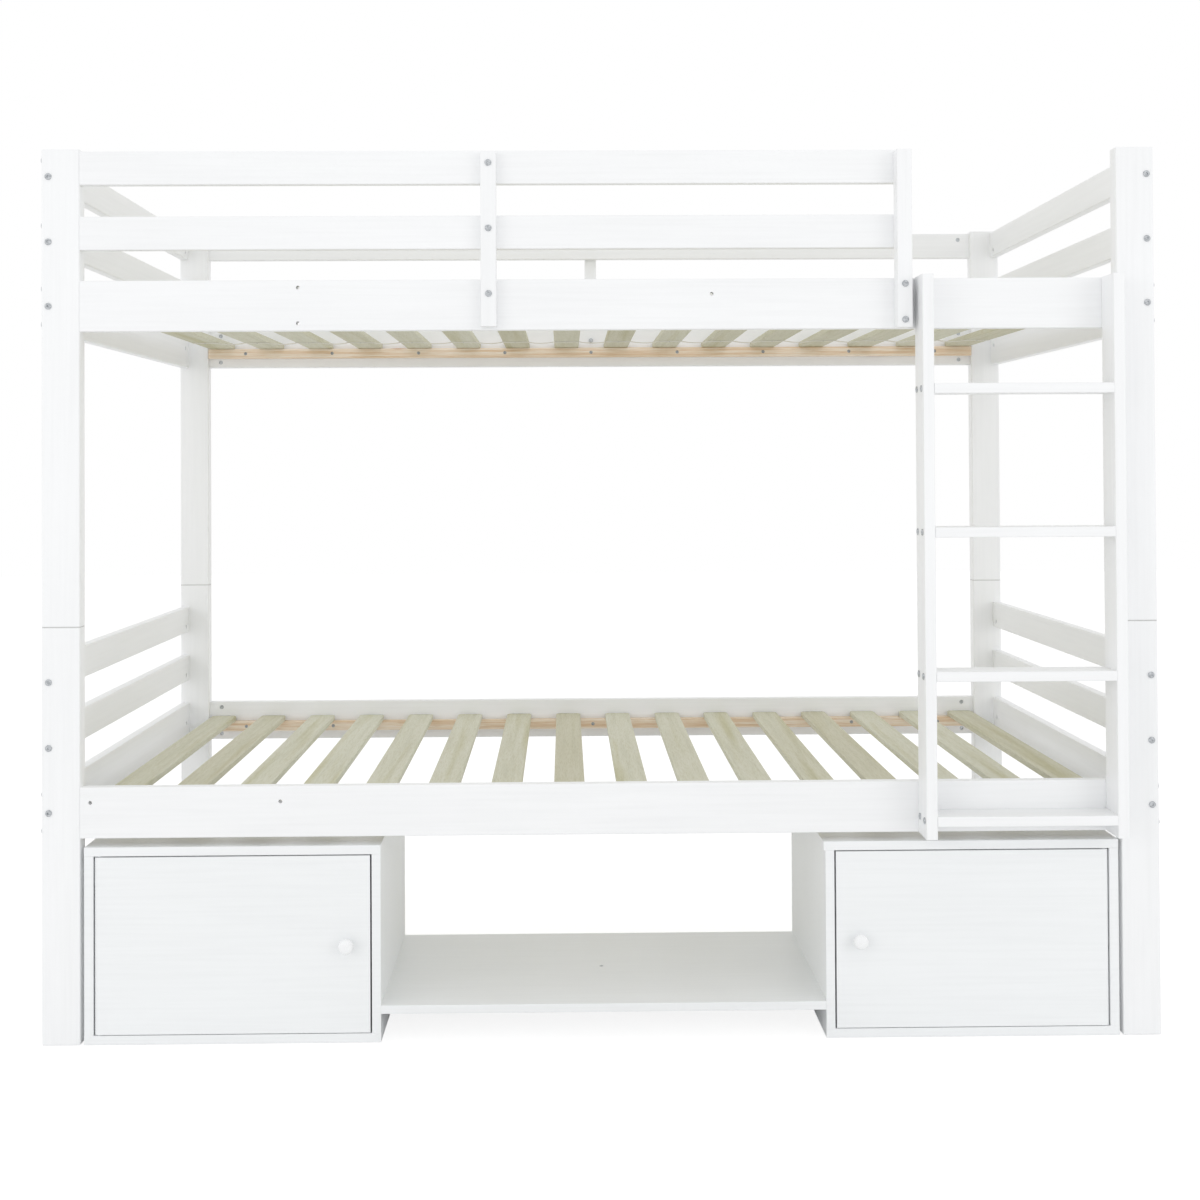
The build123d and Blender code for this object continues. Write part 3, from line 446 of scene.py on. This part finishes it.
def turned(profile, sides, recess=None, depth=0.0):
    """Turn a profile of (radius, height) about Z, and sink a recess of a given outline in its top."""
    shape = bmesh.new()
    angles = [math.tau * i / sides for i in range(sides)]
    rings = [
        [shape.verts.new((radius * math.cos(angle), radius * math.sin(angle), height)) for angle in angles]
        for radius, height in profile
    ]
    close_rings(shape, rings, caps=(True, recess is None))
    if recess:
        top = profile[-1][1]
        mouth = [shape.verts.new((x, y, top)) for x, y in recess]
        floor = [shape.verts.new((RECESS_TAPER * x, RECESS_TAPER * y, top - depth)) for x, y in recess]
        count = len(mouth)
        rim = [shape.edges.new((mouth[i], mouth[(i + 1) % count])) for i in range(count)]
        rim += [shape.edges.get((rings[-1][i], rings[-1][(i + 1) % sides])) for i in range(sides)]
        bmesh.ops.triangle_fill(shape, use_beauty=True, edges=rim)
        close_rings(shape, [floor, mouth], caps=(True, False))
    return shape


# Geometry Nodes tools
def node_tree(name, inputs):
    """Start a Geometry Nodes tree with named inputs."""
    tree = bpy.data.node_groups.new(name, "GeometryNodeTree")
    tree.interface.new_socket(name="Geometry", in_out="OUTPUT", socket_type="NodeSocketGeometry")
    for socket_name, kind in {"Geometry": "Geometry", **inputs}.items():
        tree.interface.new_socket(name=socket_name, in_out="INPUT", socket_type=f"NodeSocket{kind}")
    return tree, add_node(tree, "NodeGroupInput").outputs


def end_tree(tree, instances, material):
    """End a tree: make its instances real, and give them their material."""
    real = add_node(tree, "GeometryNodeRealizeInstances", {}, {0: instances}).outputs[0]
    finished = add_node(tree, "GeometryNodeSetMaterial", {}, {"Geometry": real, "Material": material})
    add_node(tree, "NodeGroupOutput", {}, {0: finished.outputs[0]})


def grow(base, tree, values, name):
    """Run a tree on a base object, and return the result as a plain piece of its own."""
    modifier = base.modifiers.new("grow", "NODES")
    modifier.node_group = tree
    for item in tree.interface.items_tree:
        if item.in_out == "INPUT" and item.name in values:
            modifier[item.identifier] = values[item.name]
    base.update_tag()
    evaluated = base.evaluated_get(bpy.context.evaluated_depsgraph_get())
    mesh = bpy.data.meshes.new_from_object(evaluated)
    mesh.name = name
    base.modifiers.remove(modifier)
    piece = bpy.data.objects.new(name, mesh)
    scene.collection.objects.link(piece)
    return piece


def drop(*helpers):
    """Remove helper objects."""
    for helper in helpers:
        bpy.data.objects.remove(helper)


# Slats: one planed board, repeated along the bed with small differences
SLAT_CORNER = 8 * MM
SLAT_RIM = 1.0 * MM
SLAT_TURN = math.radians(0.06)
SLAT_SHIFT = 0.6 * MM
SLAT_SEEDS = {"lower": 11, "upper": 29}


def slat_tree():
    """Build the tree that lays a bunk's slats: a row of boards, each turned, shifted and toned
    a little differently."""
    tree, given = node_tree(
        "lay_slats",
        {"Count": "Int", "Pitch": "Float", "First X": "Float", "Middle Y": "Float", "Height": "Float",
         "Turn": "Float", "Shift": "Float", "Seed": "Int", "Material": "Material"},
    )
    start = add_node(
        tree, "ShaderNodeCombineXYZ", {}, {0: given["First X"], 1: given["Middle Y"], 2: given["Height"]},
    )
    step = add_node(tree, "ShaderNodeCombineXYZ", {}, {0: given["Pitch"]})
    row = add_node(
        tree, "GeometryNodeMeshLine", {},
        {"Count": given["Count"], "Start Location": start.outputs[0], "Offset": step.outputs[0]},
    )
    chance = add_node(
        tree, "FunctionNodeRandomValue", {"data_type": "FLOAT_VECTOR", 0: (-1, -1, -1), 1: (1, 1, 1)},
        {"Seed": given["Seed"]},
    ).outputs[0]
    chances = add_node(tree, "ShaderNodeSeparateXYZ", {}, {0: chance}).outputs
    change = {}
    for amount, axis in (("Turn", 2), ("Shift", 1)):
        product = add_node(
            tree, "ShaderNodeMath", {"operation": "MULTIPLY"}, {0: chances[axis], 1: given[amount]},
        )
        change[amount] = add_node(tree, "ShaderNodeCombineXYZ", {}, {axis: product.outputs[0]}).outputs[0]
    shifted = add_node(
        tree, "GeometryNodeSetPosition", {}, {"Geometry": row.outputs[0], "Offset": change["Shift"]},
    )
    boards = add_node(
        tree, "GeometryNodeInstanceOnPoints", {},
        {"Points": shifted.outputs[0], "Instance": given["Geometry"], "Rotation": change["Turn"]},
    )
    tone = add_node(
        tree, "FunctionNodeRandomValue", {"data_type": "FLOAT", 2: 0.0, 3: 1.0}, {"Seed": given["Seed"]},
    )
    toned = add_node(
        tree, "GeometryNodeStoreNamedAttribute",
        {"data_type": "FLOAT", "domain": "INSTANCE", "Name": "slat_tone"},
        {"Geometry": boards.outputs[0], "Value": tone.outputs[1]},
    )
    end_tree(tree, toned.outputs[0], given["Material"])
    return tree


def lay_slats():
    """Lay both bunks' slats where the CAD slats lie, and return the CAD slats' corners."""
    tree = slat_tree()
    laid = {}
    for bunk, seed in SLAT_SEEDS.items():
        boxes = sorted((corners(points) for points in solids_of(f"slats_{bunk}")), key=lambda box: box[0].x)
        low, high = boxes[0]
        half, middle = (high - low) / 2, (low + high) / 2
        shape = bmesh.new()
        soft_plate(shape, -half, half, SLAT_CORNER, SLAT_RIM, facing=2)
        board = piece_from(f"slat_board_{bunk}", shape, None)
        values = {
            "Count": len(boxes), "Pitch": boxes[1][0].x - low.x,
            "First X": middle.x, "Middle Y": middle.y, "Height": middle.z,
            "Turn": SLAT_TURN, "Shift": SLAT_SHIFT, "Seed": seed, "Material": poplar,
        }
        piece = grow(board, tree, values, f"planed_slats_{bunk}")
        drop(board)
        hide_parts(f"slats_{bunk}")
        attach(piece, "frame")
        laid[bunk] = boxes
    return laid


# Fasteners: heads and shanks set on the seats that the CAD fasteners have
Seat = namedtuple("Seat", "place facing length head_radius shank_radius")
END_DEPTH = 0.4 * MM
BOLTS = {
    "end_rail_bolts": "socket_bolts_end_rails",
    "bed_rail_bolts": "socket_bolts_long_boards",
    "guard_bolts": "socket_bolts_guard",
    "ladder_bolts": "socket_bolts_ladder",
    "rung_bolts": "socket_bolts_rungs",
}
SCREWS = {
    "wood_screws": "countersunk_screws",
    "cabinet_screws": "countersunk_cabinet_screws",
}
# Profiles of heads from below to the top, as (inset from the full radius, height) in mm
BOLT_PROFILE = (
    (0.4, -2.5), (0.0, -2.2), (0.0, -1.5), (0.35, -0.85), (1.1, -0.35), (2.0, -0.08), (2.6, 0.0),
)
SCREW_RIM_PROFILE = ((0.1, -0.45), (0.0, -0.2), (0.15, -0.04), (0.5, 0.0))
SOCKET_RADIUS = 2.3 * MM
SOCKET_DEPTH = 1.7 * MM
CROSS_DEPTH = 1.2 * MM
# A cross recess's reach and half width, as shares of its screw's head radius
CROSS_SHARES = (0.58, 0.13)
# A shank of unit length: (share of its radius, height), from its tip to under the head
SHANK_PROFILE = ((0.85, -1.0), (1.0, -0.985), (1.0, -0.05))
BOLT_SIDES = 28
SCREW_SIDES = 20
SHANK_SIDES = 14


def seats_of(name):
    """Find each fastener's seat: its head's place, the way it faces, its length and radii."""
    seats = []
    for points in solids_of(name):
        low, high = corners(points)
        size, middle = high - low, (low + high) / 2
        axis = max(range(3), key=lambda i: size[i])
        wide = [p - middle for p in points]
        reach = {}
        for sign, end in ((1, high[axis]), (-1, low[axis])):
            near = [p - middle for p in points if abs(p[axis] - end) < END_DEPTH]
            reach[sign] = max(v.length_squared - v[axis] ** 2 for v in near)
        sign = 1 if reach[1] > reach[-1] else -1
        place, facing = middle.copy(), Vector((0, 0, 0))
        place[axis] += sign * size[axis] / 2
        facing[axis] = sign
        head_radius = math.sqrt(max(v.length_squared - v[axis] ** 2 for v in wide))
        seats.append(Seat(place, facing, size[axis], head_radius, math.sqrt(reach[-sign])))
    return seats


def fastener_tree():
    """Build the tree that sets a head and a shank of the right length on every seat."""
    tree, given = node_tree("set_fasteners", {"Head": "Object", "Shank": "Object", "Material": "Material"})
    known = {
        attribute: add_node(
            tree, "GeometryNodeInputNamedAttribute", {"data_type": data_type, "Name": attribute},
        ).outputs[0]
        for attribute, data_type in (("facing", "FLOAT_VECTOR"), ("reach", "FLOAT"))
    }
    turn = add_node(
        tree, "FunctionNodeAlignRotationToVector", {"axis": "Z"}, {"Vector": known["facing"]},
    ).outputs[0]
    long = add_node(tree, "ShaderNodeCombineXYZ", {0: 1.0, 1: 1.0}, {2: known["reach"]}).outputs[0]
    join = add_node(tree, "GeometryNodeJoinGeometry")
    for shape_name, scale in (("Head", None), ("Shank", long)):
        source = add_node(tree, "GeometryNodeObjectInfo", {}, {"Object": given[shape_name]})
        links = {"Points": given["Geometry"], "Instance": source.outputs["Geometry"], "Rotation": turn}
        if scale:
            links["Scale"] = scale
        made = add_node(tree, "GeometryNodeInstanceOnPoints", {}, links)
        tree.links.new(made.outputs[0], join.inputs[0])
    end_tree(tree, join.outputs[0], given["Material"])
    return tree


def hexagon(radius):
    """List the corners of a hexagonal socket."""
    return [(radius * math.cos(math.tau * i / 6), radius * math.sin(math.tau * i / 6)) for i in range(6)]


def cross(reach, half):
    """List the corners of a cross recess."""
    quarter = [(reach, -half), (reach, half), (half, half)]
    points = []
    for turn in range(4):
        for x, y in quarter:
            for _ in range(turn):
                x, y = -y, x
            points.append((x, y))
    return points


def bolt_head(radius):
    """Shape a low button head with a hexagonal socket, its top at the origin."""
    profile = [(radius - inset * MM, height * MM) for inset, height in BOLT_PROFILE]
    return turned(profile, BOLT_SIDES, hexagon(SOCKET_RADIUS), SOCKET_DEPTH)


def screw_head(radius, neck):
    """Shape a countersunk head with a cross recess, its top at the origin."""
    profile = [(neck, -(radius - neck) - 0.4 * MM)]
    profile += [(radius - inset * MM, height * MM) for inset, height in SCREW_RIM_PROFILE]
    reach, half = (share * radius for share in CROSS_SHARES)
    return turned(profile, SCREW_SIDES, cross(reach, half), CROSS_DEPTH)


def set_fasteners():
    """Set the bolts and the wood screws on their seats."""
    tree = fastener_tree()
    for node_name, name in {**BOLTS, **SCREWS}.items():
        seats = seats_of(node_name)
        head_radius, shank_radius = seats[0].head_radius, seats[0].shank_radius
        mesh = bpy.data.meshes.new(name)
        mesh.from_pydata([seat.place for seat in seats], [], [])
        mesh.attributes.new("facing", "FLOAT_VECTOR", "POINT")
        mesh.attributes.new("reach", "FLOAT", "POINT")
        for i, seat in enumerate(seats):
            mesh.attributes["facing"].data[i].vector = seat.facing
            mesh.attributes["reach"].data[i].value = seat.length
        base = bpy.data.objects.new(name, mesh)
        scene.collection.objects.link(base)
        if node_name in BOLTS:
            metal, head_shape = zinc, bolt_head(head_radius)
        else:
            metal, head_shape = screw_zinc, screw_head(head_radius, shank_radius)
        head = piece_from(f"{name}_head", head_shape, None)
        # The shank is one unit long, and each seat stretches it to its own length
        rod = [(share * shank_radius, height) for share, height in SHANK_PROFILE]
        shank = piece_from(f"{name}_shank", turned(rod, SHANK_SIDES), None)
        piece = grow(base, tree, {"Head": head, "Shank": shank, "Material": metal}, f"{name}_set")
        drop(base, head, shank)
        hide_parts(node_name)
        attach(piece, "frame")


# Ribbons under the upper slats, with a staple in every slat
RIBBON_THICKNESS = 0.8 * MM
RIBBON_SAG = 3.2 * MM
RIBBON_GAP = 0.05 * MM
SAG_STEPS = 10
# The ribbon's section from edge to edge: (share of its width, share of its thickness)
RIBBON_SECTION = ((-0.5, 0.35), (-0.44, 1.0), (0.0, 1.0), (0.44, 1.0), (0.5, 0.35))
STAPLE_HALF = 5 * MM
STAPLE_WIRE = 0.45 * MM
STAPLE_LEG = 2.2 * MM
STAPLE_DROP = 0.3 * MM
WIRE_SIDES = 8
# The wire is flattened, so it is wider than it is thick
WIRE_FLATNESS = 1.4


def ribbon_path(boxes):
    """List the ribbon's places along the bed: flat under every slat, and hanging between them."""
    path = []
    for i, (low, high) in enumerate(boxes):
        path += [(low.x, 0.0), ((low.x + high.x) / 2, 0.0), (high.x, 0.0)]
        if i + 1 < len(boxes):
            gap = boxes[i + 1][0].x - high.x
            for step in range(1, SAG_STEPS):
                share = step / SAG_STEPS
                path.append((high.x + gap * share, -RIBBON_SAG * 4 * share * (1 - share)))
    return path


def lay_ribbons(boxes):
    """Lay both ribbons under the upper slats, as thin woven bands with thinner edges, and return
    their middle lines."""
    path = ribbon_path(boxes)
    middle_z = boxes[0][0].z - RIBBON_GAP - RIBBON_THICKNESS / 2
    bands = [corners(points) for points in solids_of("slat_straps")]
    middles = sorted({round((low.y + high.y) / 2, 4) for low, high in bands})
    width = bands[0][1].y - bands[0][0].y
    uv_per_metre = 1 / (RIBBON_UV_MM * MM)
    ribbons = []
    for side, middle in zip(("front", "back"), middles):
        shape = bmesh.new()
        uv = shape.loops.layers.uv.new("ribbon")
        places, rings, run = {}, [], 0.0
        for i, (x, sag) in enumerate(path):
            run += math.dist(path[i - 1], path[i]) if i else 0.0
            ring = []
            for face, section in ((1, RIBBON_SECTION), (-1, RIBBON_SECTION[::-1])):
                for share, thick in section:
                    height = face * RIBBON_THICKNESS / 2 * thick
                    vert = shape.verts.new((x, middle + share * width, middle_z + sag + height))
                    places[vert] = (run * uv_per_metre, share * width * uv_per_metre)
                    ring.append(vert)
            rings.append(ring)
        close_rings(shape, rings)
        for face in shape.faces:
            for loop in face.loops:
                loop[uv].uv = places[loop.vert]
        ribbon = piece_from(f"webbing_ribbon_{side}", shape, polyester)
        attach(ribbon, "frame")
        ribbons.append(ribbon)
    for ribbon in ribbons:
        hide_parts("slat_straps")
    return middles


def staple_shape():
    """Bend a flat wire staple: a crown along Y below the origin, and two legs up."""
    shape = bmesh.new()
    half = STAPLE_HALF
    bend = [(half, STAPLE_LEG), (half, 0.8 * MM), (half * 0.94, 0.2 * MM), (half * 0.8, 0.0)]
    line = [(-y, z) for y, z in bend] + bend[::-1]
    side = Vector((1, 0, 0))
    rings = []
    for i, (y, z) in enumerate(line):
        before, after = line[max(i - 1, 0)], line[min(i + 1, len(line) - 1)]
        out = Vector((0, after[0] - before[0], after[1] - before[1])).normalized().cross(side)
        ring = []
        for k in range(WIRE_SIDES):
            angle = math.tau * k / WIRE_SIDES
            across = side * (WIRE_FLATNESS * STAPLE_WIRE * math.cos(angle))
            ring.append(shape.verts.new(Vector((0, y, z)) + across + out * (STAPLE_WIRE * math.sin(angle))))
        rings.append(ring)
    close_rings(shape, rings)
    return shape


def staple_tree():
    """Build the tree that presses a staple in at every point."""
    tree, given = node_tree("press_staples", {"Staple": "Object", "Material": "Material"})
    source = add_node(tree, "GeometryNodeObjectInfo", {}, {"Object": given["Staple"]})
    made = add_node(
        tree, "GeometryNodeInstanceOnPoints", {},
        {"Points": given["Geometry"], "Instance": source.outputs["Geometry"]},
    )
    end_tree(tree, made.outputs[0], given["Material"])
    return tree


def press_staples(boxes, middles):
    """Press a staple through the ribbon into the middle of every slat."""
    height = boxes[0][0].z - RIBBON_GAP - RIBBON_THICKNESS - STAPLE_DROP
    mesh = bpy.data.meshes.new("staple_places")
    mesh.from_pydata([((low.x + high.x) / 2, y, height) for low, high in boxes for y in middles], [], [])
    base = bpy.data.objects.new("staple_places", mesh)
    scene.collection.objects.link(base)
    staple = piece_from("staple", staple_shape(), None)
    piece = grow(base, staple_tree(), {"Staple": staple, "Material": screw_zinc}, "ribbon_staples")
    drop(base, staple)
    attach(piece, "frame")


# Magnetic catches and their strike plates. A plate's finish is (corner radius, softened rim).
CATCH_FINISH = (2.0 * MM, 0.8 * MM)
POLE_FINISH = (0.4 * MM, 0.1 * MM)
STRIKE_FINISH = (3 * MM, 0.15 * MM)
POLE_PROUD = 0.25 * MM
POLE_HEIGHTS = (0.28, 0.72)
POLE_INSET = 6 * MM
POLE_DEPTH = 6 * MM
POLE_HALF = 1.1 * MM
# The strike's plate and its screw's top lie this far behind the CAD strike's face, and the
# screw has this (head radius, neck radius)
STRIKE_SETBACK = 0.5 * MM
STRIKE_SCREW_SETBACK = 0.1 * MM
STRIKE_SCREW = (3.4 * MM, 1.6 * MM)


def make_catches():
    """Make each catch: a nylon body with two steel pole plates let into its front."""
    bodies, poles = bmesh.new(), bmesh.new()
    for low, high in (corners(points) for points in solids_of("catches")):
        soft_plate(bodies, low + Vector((0, POLE_PROUD, 0)), high, *CATCH_FINISH, facing=1)
        for share in POLE_HEIGHTS:
            z = low.z + share * (high.z - low.z)
            pole_low = Vector((low.x + POLE_INSET, low.y, z - POLE_HALF))
            pole_high = Vector((high.x - POLE_INSET, low.y + POLE_DEPTH, z + POLE_HALF))
            soft_plate(poles, pole_low, pole_high, *POLE_FINISH, facing=1)
    body = piece_from("catch_bodies", bodies, nylon)
    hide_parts("catches")
    pole = piece_from("catch_poles", poles, screw_zinc)
    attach(body, "frame")
    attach(pole, "frame")


def make_strike(side):
    """Make a door's strike: a thin steel plate with rounded corners and a screw in its middle."""
    low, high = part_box(f"{side}_door_strike")
    shape = bmesh.new()
    soft_plate(shape, low, high - Vector((0, STRIKE_SETBACK, 0)), *STRIKE_FINISH, facing=1)
    middle = Vector(((low.x + high.x) / 2, high.y - STRIKE_SCREW_SETBACK, (low.z + high.z) / 2))
    screw = screw_head(*STRIKE_SCREW)
    screw.transform(Matrix.Translation(middle) @ Matrix.Rotation(math.radians(-90), 4, "X"))
    mesh = bpy.data.meshes.new("strike_screw")
    screw.to_mesh(mesh)
    screw.free()
    shape.from_mesh(mesh)
    bpy.data.meshes.remove(mesh)
    strike = piece_from(f"{side}_strike_plate", shape, screw_zinc)
    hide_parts(f"{side}_door_strike")
    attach(strike, f"{side}_door")


# Studio: a pale floor, a surround that the camera and gloss see as white, and two soft lamps
SURROUND_LIGHT = 0.94
FLOOR_HALF = 12.0
FLOOR_DROP = 0.001
FLOOR_COLOUR = "#f6f6f6"
# The floor that the camera sees glows by this share, so that it is nearly white and keeps a
# faint shadow
FLOOR_GLOW_SHARE = 0.72
FLOOR_GLOW = 1.18
WHITE = (1, 1, 1, 1)
SOFTBOX_PLACE = Vector((4.5, -5.0, 2.0))
SOFTBOX_TARGET = Vector((0, 0, 0.8))
SOFTBOX_SIZE = 3.0
SOFTBOX_POWER = 32


def make_surround():
    """Light the bed evenly from all round, and show white to the camera and to gloss."""
    world = bpy.data.worlds.new("studio")
    scene.world = world
    world.use_nodes = True
    tree = world.node_tree
    tree.nodes.clear()
    rays = add_node(tree, "ShaderNodeLightPath")
    seen = add_node(
        tree, "ShaderNodeMath", {"operation": "MAXIMUM"},
        {0: rays.outputs["Is Camera Ray"], 1: rays.outputs["Is Glossy Ray"]},
    )
    fill = add_node(tree, "ShaderNodeBackground", {"Color": WHITE, "Strength": SURROUND_LIGHT})
    white = add_node(tree, "ShaderNodeBackground", {"Color": WHITE, "Strength": 1.0})
    mix = add_node(
        tree, "ShaderNodeMixShader", {}, {0: seen.outputs[0], 1: fill.outputs[0], 2: white.outputs[0]},
    )
    add_node(tree, "ShaderNodeOutputWorld", {}, {"Surface": mix.outputs[0]})


def make_floor():
    """Lay a pale matt floor that keeps the bed's soft shadow."""
    mesh = bpy.data.meshes.new("floor")
    signs = ((-1, -1), (1, -1), (1, 1), (-1, 1))
    mesh.from_pydata([(x * FLOOR_HALF, y * FLOOR_HALF, -FLOOR_DROP) for x, y in signs], [], [(0, 1, 2, 3)])
    floor = bpy.data.objects.new("floor", mesh)
    scene.collection.objects.link(floor)
    material = bpy.data.materials.new("pale_matt_floor")
    material.use_nodes = True
    tree = material.node_tree
    tree.nodes.clear()
    rays = add_node(tree, "ShaderNodeLightPath")
    seen = add_node(
        tree, "ShaderNodeMath", {"operation": "MULTIPLY", 1: FLOOR_GLOW_SHARE},
        {0: rays.outputs["Is Camera Ray"]},
    )
    paint = add_node(tree, "ShaderNodeBsdfDiffuse", {"Color": linear(FLOOR_COLOUR)})
    glow = add_node(tree, "ShaderNodeEmission", {"Color": WHITE, "Strength": FLOOR_GLOW})
    mix = add_node(
        tree, "ShaderNodeMixShader", {}, {0: seen.outputs[0], 1: paint.outputs[0], 2: glow.outputs[0]},
    )
    add_node(tree, "ShaderNodeOutputMaterial", {}, {"Surface": mix.outputs[0]})
    mesh.materials.append(material)


def hang_softbox(side, sign):
    """Hang a large soft lamp to the front left or front right, facing the bed."""
    data = bpy.data.lights.new(f"{side}_softbox", "AREA")
    data.shape = "RECTANGLE"
    data.size = data.size_y = SOFTBOX_SIZE
    data.energy = SOFTBOX_POWER
    lamp = bpy.data.objects.new(f"{side}_softbox", data)
    scene.collection.objects.link(lamp)
    place = Vector((sign * SOFTBOX_PLACE.x, SOFTBOX_PLACE.y, SOFTBOX_PLACE.z))
    facing = (SOFTBOX_TARGET - place).to_track_quat("-Z", "Y").to_matrix().to_4x4()
    lamp.matrix_world = Matrix.Translation(place) @ facing
    lamp.visible_camera = False
    lamp.visible_glossy = False


make_camera()
carry_finishes()
upper_slats = lay_slats()["upper"]
set_fasteners()
press_staples(upper_slats, lay_ribbons(upper_slats))
make_catches()
make_strike("left")
make_strike("right")
make_surround()
make_floor()
hang_softbox("left", -1)
hang_softbox("right", 1)
scene.view_settings.view_transform = "Standard"
